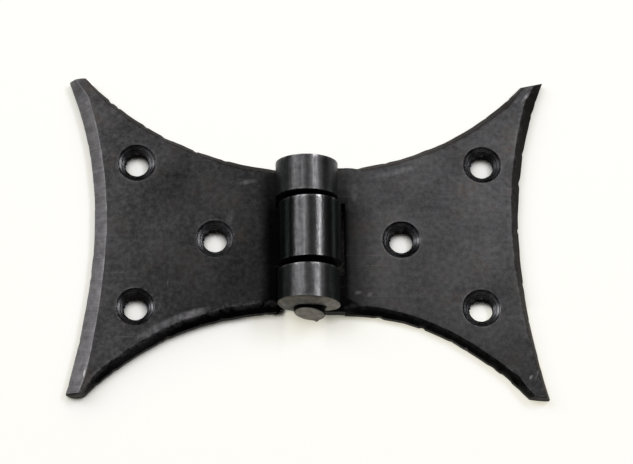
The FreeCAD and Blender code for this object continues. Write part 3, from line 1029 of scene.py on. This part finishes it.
def roll_tree():
    """Geometry nodes: rolls the tongues of a blank round the pin and lines its screw holes."""
    tree = bpy.data.node_groups.new("roll_and_countersink", "GeometryNodeTree")
    numbers = ("Side", "Barrel Radius", "Neutral Radius", "Thickness", "Rim Radius", "Screw Radius", "Rings",
               "Ring Depth", "Burr")
    sockets = [("Geometry", "Geometry")]
    sockets += [(name, "Float") for name in numbers]
    sockets += [(name, "Int") for name in ("Segments", "Seed")]
    sockets += [(name, "Material") for name in ("Cut Finish", "Bore Finish")]
    for name, kind in sockets:
        tree.interface.new_socket(name, in_out="INPUT", socket_type=f"NodeSocket{kind}")
    tree.interface.new_socket("Geometry", in_out="OUTPUT", socket_type="NodeSocketGeometry")
    given = outputs(tree, "NodeGroupInput")
    side, barrel, thick, rim = (given[name] for name in ("Side", "Barrel Radius", "Thickness", "Rim Radius"))

    # The blank's loose points mark the holes, and the rest is the sheet.
    mark = add(tree, "GeometryNodeInputNamedAttribute", {"Name": "hole_mark"}, data_type="BOOLEAN")
    marked = {"Geometry": given["Geometry"], "Selection": mark}
    parted = outputs(tree, "GeometryNodeSeparateGeometry", marked, domain="POINT")

    # Past the pin axis, the distance along the blank becomes an angle and the height a radius.
    x, y, z = add(tree, "GeometryNodeInputPosition").parts()
    out = x * side
    turn = (out * -1.0).most(0.0) / given["Neutral Radius"]
    radius = barrel - z
    new_x = (out.most(0.0) - radius * turn.sine()) * side
    new_z = barrel - radius * turn.cosine()
    rolled = {"Geometry": parted["Inverted"], "Position": join(tree, new_x, y, new_z)}
    sheet = add(tree, "GeometryNodeSetPosition", rolled)

    # A unit grid becomes one countersink: across it the turn, along it the profile from the rim to the back.
    cone_share = 0.75
    profile_points = 41
    size = {"Size X": 1.0, "Size Y": 1.0, "Vertices X": given["Segments"] + 1.0, "Vertices Y": profile_points}
    grid = add(tree, "GeometryNodeMeshGrid", size)
    u, v, _ = add(tree, "GeometryNodeInputPosition").parts()
    around = u * FULL_TURN
    down = v + 0.5
    in_cone = calc(tree, "DIVIDE", down, cone_share, clamp=True)
    in_bore = down.ramp(cone_share, 1.0)
    fall = rim - given["Screw Radius"]
    depth = in_cone * fall

    # The cutter left rings in the cone, and the drill a burr at the far side of the bore.
    wander = cloud(join(tree, in_cone, given["Seed"]), 5.0, 1.0)
    phase = in_cone * given["Rings"] + wander * 1.6
    ring_ends = in_cone.ramp(0.0, 0.12) * in_cone.ramp(1.0, 0.9)
    ridge = (phase * FULL_TURN).sine() * ring_ends * given["Ring Depth"]
    cosine, sine = around.cosine(), around.sine()
    ragged = cloud(join(tree, cosine, sine), 4.5, 3.0).ramp(0.4, 0.65)
    far_side = math.radians(105.0)
    ragged = ragged * (around - far_side).cosine().ramp(0.2, 0.8, 0.15, 1.0)
    hang = down.ramp(0.7, 0.82) * down.ramp(1.0, 0.9)
    reach = rim - depth + ridge - ragged * hang * given["Burr"]
    height = thick - depth - in_bore * (thick - fall)

    in_cut = {"Geometry": grid, "Name": "cut", "Value": calc(tree, "LESS_THAN", down, cone_share)}
    liner = add(tree, "GeometryNodeStoreNamedAttribute", in_cut, data_type="BOOLEAN", domain="FACE")
    shape = join(tree, reach * cosine, reach * sine, height)
    liner = add(tree, "GeometryNodeSetPosition", {"Geometry": liner, "Position": shape})
    liner = add(tree, "GeometryNodeMergeByDistance", {"Geometry": liner, "Distance": SAME_PLACE * MM})
    liner = add(tree, "GeometryNodeSetMaterial", {"Geometry": liner, "Material": given["Bore Finish"]})

    # Each hole's countersink is turned by a few segments.
    step = new_node(tree, "FunctionNodeRandomValue", {"Seed": given["Seed"]}, data_type="INT")
    whole_numbers = {socket.name: socket for socket in step.inputs if socket.type == "INT"}
    for name, value in (("Min", 0), ("Max", 5)):
        whole_numbers[name].default_value = value
    picked = Signal(next(socket for socket in step.outputs if socket.type == "INT"))
    spin = join(tree, 0.0, 0.0, picked * FULL_TURN / given["Segments"])
    places = {"Points": parted["Selection"], "Instance": liner, "Rotation": spin}
    lined = add(tree, "GeometryNodeInstanceOnPoints", places)

    joined = new_node(tree, "GeometryNodeJoinGeometry")
    for part in (lined, sheet):
        tree.links.new(part.socket, joined.inputs[0])
    whole = add(tree, "GeometryNodeRealizeInstances", {"Geometry": Signal(joined.outputs[0])})
    whole = add(tree, "GeometryNodeMergeByDistance", {"Geometry": whole, "Distance": SAME_PLACE * MM})
    cut = add(tree, "GeometryNodeInputNamedAttribute", {"Name": "cut"}, data_type="BOOLEAN")
    cut_faces = {"Geometry": whole, "Selection": cut, "Material": given["Cut Finish"]}
    whole = add(tree, "GeometryNodeSetMaterial", cut_faces)
    new_node(tree, "NodeGroupOutput", {"Geometry": whole})
    return tree


def run_tree(piece, tree, values):
    """Runs a node tree on a piece once and keeps the result as the piece's plain mesh."""
    modifier = piece.modifiers.new("shape", "NODES")
    modifier.node_group = tree
    for item in tree.interface.items_tree:
        if item.in_out == "INPUT" and item.name in values:
            modifier[item.identifier] = values[item.name]
    piece.update_tag()
    depsgraph = bpy.context.evaluated_depsgraph_get()
    made = bpy.data.meshes.new_from_object(piece.evaluated_get(depsgraph), depsgraph=depsgraph)
    piece.modifiers.clear()
    for number in reversed(range(len(made.materials))):
        if made.materials[number] is None:
            made.materials.pop(index=number)
    old = piece.data
    piece.data = made
    made.name = piece.name
    bpy.data.meshes.remove(old)


def settle(piece, sharp_degrees):
    """Turns every face outward, checks that the piece is closed, and shades it smooth up to an angle."""
    mesh = piece.data
    body = bmesh.new()
    body.from_mesh(mesh)
    bmesh.ops.recalc_face_normals(body, faces=body.faces)
    open_edges = sum(1 for edge in body.edges if len(edge.link_faces) != 2)
    if body.calc_volume(signed=True) < 0.0:
        bmesh.ops.reverse_faces(body, faces=body.faces)
    body.to_mesh(mesh)
    body.free()
    if open_edges:
        raise RuntimeError(f"{piece.name} has {open_edges} open edges")
    mesh.polygons.foreach_set("use_smooth", [True] * len(mesh.polygons))
    mesh.set_sharp_from_angle(angle=math.radians(sharp_degrees))
    mesh.update()


def dress(piece, node, body):
    """Puts a finished piece in the place of its CAD node."""
    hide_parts(node)
    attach(piece, body)


def new_piece(name, points, faces):
    """Object with a mesh from points in metres, linked to the scene."""
    mesh = bpy.data.meshes.new(name)
    mesh.from_pydata(points, [], faces)
    piece = bpy.data.objects.new(name, mesh)
    bpy.context.scene.collection.objects.link(piece)
    return piece


class BUTTERFLY_OT_leaves(bpy.types.Operator):
    """Forge both leaves: filed blanks, rolled tongues and countersunk holes"""
    bl_idname = "butterfly_hinge.leaves"
    bl_label = "Leaves"

    def execute(self, context):
        settings = context.scene.butterfly_hinge
        sizes, colours = settings.sizes, settings.colours
        tree = roll_tree()
        rolled = rolled_finish("rolled_black", colours)
        sawn = sawn_finish("sawn_grey", colours)
        cut = cut_finish("countersink_cut", colours)
        bore = bore_finish("bore_brown", colours)
        for leaf in LEAVES:
            blank = Blank(leaf, sizes)
            blank.build()
            count = len(blank.points)
            marks = [(hole.x, hole.y, 0.0) for hole in blank.holes]
            points = [(leaf.side * x * MM, y * MM, z * MM) for x, y, z in blank.points + marks]
            faces = blank.faces if leaf.side > 0 else [face[::-1] for face in blank.faces]
            piece = new_piece(f"forged_{leaf.name}", points, faces)
            mesh = piece.data
            worked = leaf.tone, leaf.speckle, leaf.light, leaf.marks
            scale = scale_finish(f"scale_{leaf.name}", colours, *worked)
            black = scale_finish(f"black_edge_{leaf.name}", colours, *worked, True)
            filed = filed_finish(f"filed_{leaf.name}", colours, leaf.marks)
            for material in (scale, filed, rolled, sawn, black, cut):
                mesh.materials.append(material)
            mesh.polygons.foreach_set("material_index", blank.finishes)
            padding = [0.0] * len(marks)
            layers = {"worn": blank.worn, "run": blank.run, "soot_and_shade": blank.soot_and_shade, "polish": blank.polish()}
            for name, values in layers.items():
                mesh.attributes.new(name, "FLOAT", "POINT").data.foreach_set("value", values + padding)
            flags = [False] * count + [True] * len(marks)
            mesh.attributes.new("hole_mark", "BOOLEAN", "POINT").data.foreach_set("value", flags)
            run_tree(piece, tree, {
                "Side": float(leaf.side),
                "Barrel Radius": BARREL_RADIUS * MM,
                "Neutral Radius": blank.neutral * MM,
                "Thickness": sizes.thickness,
                "Rim Radius": sizes.rim_radius,
                "Screw Radius": sizes.screw_radius,
                "Rings": sizes.rings,
                "Ring Depth": sizes.ring_depth,
                "Burr": sizes.burr,
                "Segments": blank.segments,
                "Seed": sizes.seed,
                "Cut Finish": cut,
                "Bore Finish": bore,
            })
            settle(piece, sharp_degrees=32.0)
            dress(piece, leaf.name, leaf.body)
        return {"FINISHED"}


class BUTTERFLY_OT_pin(bpy.types.Operator):
    """Cut the pin: a drawn rod with sawn, broken ends"""
    bl_idname = "butterfly_hinge.pin"
    bl_label = "Pin"

    def execute(self, context):
        settings = context.scene.butterfly_hinge
        sizes, colours = settings.sizes, settings.colours
        rings, segments = self.rings(sizes), 72
        points = self.points(rings, segments, sizes)
        face_rings = 3
        last = len(points) - 1
        faces, finishes = [], []
        for k in range(segments):
            following = (k + 1) % segments
            faces.append((0, 1 + k, 1 + following))
            finishes.append(1)
            for ring in range(len(rings) - 1):
                base, above = 1 + ring * segments, 1 + (ring + 1) * segments
                faces.append((base + k, above + k, above + following, base + following))
                finishes.append(1 if ring < face_rings or ring >= len(rings) - 1 - face_rings else 0)
            top = 1 + (len(rings) - 1) * segments
            faces.append((last, top + following, top + k))
            finishes.append(1)
        piece = new_piece("forged_hinge_pin", [tuple(c * MM for c in point) for point in points], faces)
        piece.data.materials.append(scale_finish("pin_black", colours, 0.5))
        piece.data.materials.append(sawn_finish("pin_end_grey", colours))
        piece.data.polygons.foreach_set("material_index", finishes)
        settle(piece, sharp_degrees=40.0)
        dress(piece, "hinge_pin", "right_side")
        return {"FINISHED"}

    def rings(self, sizes):
        """Rings from the near end to the far one: place along the pin, radius, share of the sawn slant."""
        chamfer = sizes.pin_chamfer / MM
        near, far = PIN_LOW.y - sizes.pin_proud / MM, PIN_HIGH.y - sizes.pin_short / MM
        face = [PIN_RADIUS * part for part in (0.3, 0.55, 0.75)]
        # The broken edge: shares of its size along the pin and inwards, and the share of the slant.
        edge = ((0.0, 1.0, 1.0), (0.45, 0.2, 0.9), (1.0, 0.0, 0.8))
        rings = [(near, radius, 1.0) for radius in face]
        for along, inward, lean in edge:
            rings.append((near + chamfer * along, PIN_RADIUS - chamfer * inward, lean))
        shank, steps = far - near - 2 * chamfer, 40
        rings += [(near + chamfer + shank * step / steps, PIN_RADIUS, 0.0) for step in range(1, steps)]
        for along, inward, _ in reversed(edge):
            rings.append((far - chamfer * along, PIN_RADIUS - chamfer * inward, 0.0))
        rings += [(far, radius, 0.0) for radius in reversed(face)]
        return rings

    def points(self, rings, segments, sizes):
        """Points of the rings, between the middles of both ends. The saw left a burr on the near rim."""
        slant, skew = sizes.pin_slant / MM, sizes.pin_skew / MM
        burr_turn, burr_width, burr_length = 5.25, 0.16, 0.35
        points = [(0.0, rings[0][0], BARREL_RADIUS)]
        for along, radius, lean in rings:
            for k in range(segments):
                turn = FULL_TURN * k / segments
                x, z = math.cos(turn), math.sin(turn)
                reach = radius + 0.015 * noise.noise(Vector((x * 2.0, z * 2.0, along / 3.0)))
                place = along + (slant * z - skew * x) * lean * radius / PIN_RADIUS
                if radius > PIN_RADIUS * 0.8:
                    place -= burr_length * lean * math.exp(-((turn - burr_turn) / burr_width) ** 2)
                points.append((reach * x, place, BARREL_RADIUS + reach * z))
        points.append((0.0, rings[-1][0], BARREL_RADIUS))
        return points


def area_light(name, direction, size, brightness, distance=1.0):
    """Rectangular soft light that faces the hinge; brightness is the light that its face sends out."""
    lamp = bpy.data.lights.new(name, "AREA")
    lamp.shape = "RECTANGLE"
    lamp.size, lamp.size_y = size
    lamp.energy = brightness * math.pi * size[0] * size[1]
    holder = bpy.data.objects.new(name, lamp)
    toward = Vector(direction).normalized()
    across = Vector((0.0, 1.0, 0.0)).cross(toward).normalized()
    along = toward.cross(across)
    turn = Matrix((across, along, toward)).transposed().to_4x4()
    holder.matrix_world = Matrix.Translation(toward * distance) @ turn
    holder.visible_camera = False
    bpy.context.scene.collection.objects.link(holder)
    return holder


class BUTTERFLY_OT_stage(bpy.types.Operator):
    """Lay the floor and set the lights and the camera"""
    bl_idname = "butterfly_hinge.stage"
    bl_label = "Stage"

    def execute(self, context):
        stage = context.scene.butterfly_hinge.stage
        scene = context.scene
        half, drop = 3.0, -0.0001
        corners = [(-half, -half, drop), (half, -half, drop), (half, half, drop), (-half, half, drop)]
        floor = new_piece("floor", corners, [(0, 1, 2, 3)])
        floor.data.materials.append(floor_finish("pale_floor", stage))
        area_light("window", direction=(-0.56, 0.31, 0.765), size=(0.79, 0.4), brightness=stage.window)
        area_light("strip", direction=(0.515, 0.31, 0.8), size=(0.2, 0.4), brightness=stage.strip)
        self.ceiling(scene, stage.overhead)
        self.camera(scene, stage)
        scene.view_settings.view_transform = "Standard"
        return {"FINISHED"}

    def ceiling(self, scene, brightness):
        """Plain world, brightest straight above, dim at the horizon and on the near side."""
        world = bpy.data.worlds.new("studio")
        world.use_nodes = True
        tree = world.node_tree
        tree.nodes.clear()
        _, depth, height = add(tree, "ShaderNodeTexCoord", output="Generated").parts()
        rise = calc(tree, "POWER", height.most(0.0), 2.0) * depth.ramp(-0.7, 0.1, 0.05, 1.0)
        horizon = 0.005
        level = rise * brightness + horizon
        glow = add(tree, "ShaderNodeBackground", {"Color": (1.0, 1.0, 1.0, 1.0), "Strength": level})
        new_node(tree, "ShaderNodeOutputWorld", {"Surface": glow})
        scene.world = world

    def camera(self, scene, stage):
        """Long lens, looking down on the hinge from the near side."""
        back = Vector((-math.tan(stage.sideways), -math.tan(stage.tilt), 1.0)).normalized()
        level_up = Vector((0.0, 1.0, 0.0))
        level_up = (level_up - back * level_up.dot(back)).normalized()
        level_right = level_up.cross(back)
        right = level_right * math.cos(stage.roll) + level_up * math.sin(stage.roll)
        up = level_up * math.cos(stage.roll) - level_right * math.sin(stage.roll)
        pixels_per_mm = 4.81
        aim = Vector((0.0, -0.95, 0.0)) * MM
        aim_off_centre = (-8.75, -12.0)
        step = MM / pixels_per_mm
        centre = aim - (right * aim_off_centre[0] + up * aim_off_centre[1]) * step
        lens = bpy.data.cameras.new("camera")
        lens.sensor_width = SENSOR
        lens.lens = pixels_per_mm / MM * stage.distance * SENSOR / IMAGE_WIDTH
        holder = bpy.data.objects.new("camera", lens)
        turn = Matrix((right, up, back)).transposed().to_4x4()
        holder.matrix_world = Matrix.Translation(centre + back * stage.distance) @ turn
        scene.collection.objects.link(holder)
        scene.camera = holder


class BUTTERFLY_PT_hinge(bpy.types.Panel):
    """Hinge settings and steps"""
    bl_idname = "BUTTERFLY_PT_hinge"
    bl_label = "Butterfly hinge"
    bl_space_type = "VIEW_3D"
    bl_region_type = "UI"
    bl_category = "Hinge"

    def draw(self, context):
        settings = context.scene.butterfly_hinge
        for group in (settings.sizes, settings.colours, settings.stage):
            box = self.layout.box()
            for name in group.__annotations__:
                box.prop(group, name)
        for operator in OPERATORS:
            self.layout.operator(operator.bl_idname)


OPERATORS = (BUTTERFLY_OT_leaves, BUTTERFLY_OT_pin, BUTTERFLY_OT_stage)
CLASSES = (HingeSizes, HingeColours, HingeStage, HingeSettings, *OPERATORS, BUTTERFLY_PT_hinge)


def register():
    for cls in CLASSES:
        bpy.utils.register_class(cls)
    bpy.types.Scene.butterfly_hinge = PointerProperty(type=HingeSettings)


def unregister():
    del bpy.types.Scene.butterfly_hinge
    for cls in reversed(CLASSES):
        bpy.utils.unregister_class(cls)


def main():
    register()
    bpy.ops.butterfly_hinge.leaves()
    bpy.ops.butterfly_hinge.pin()
    bpy.ops.butterfly_hinge.stage()


if __name__ == "__main__":
    main()
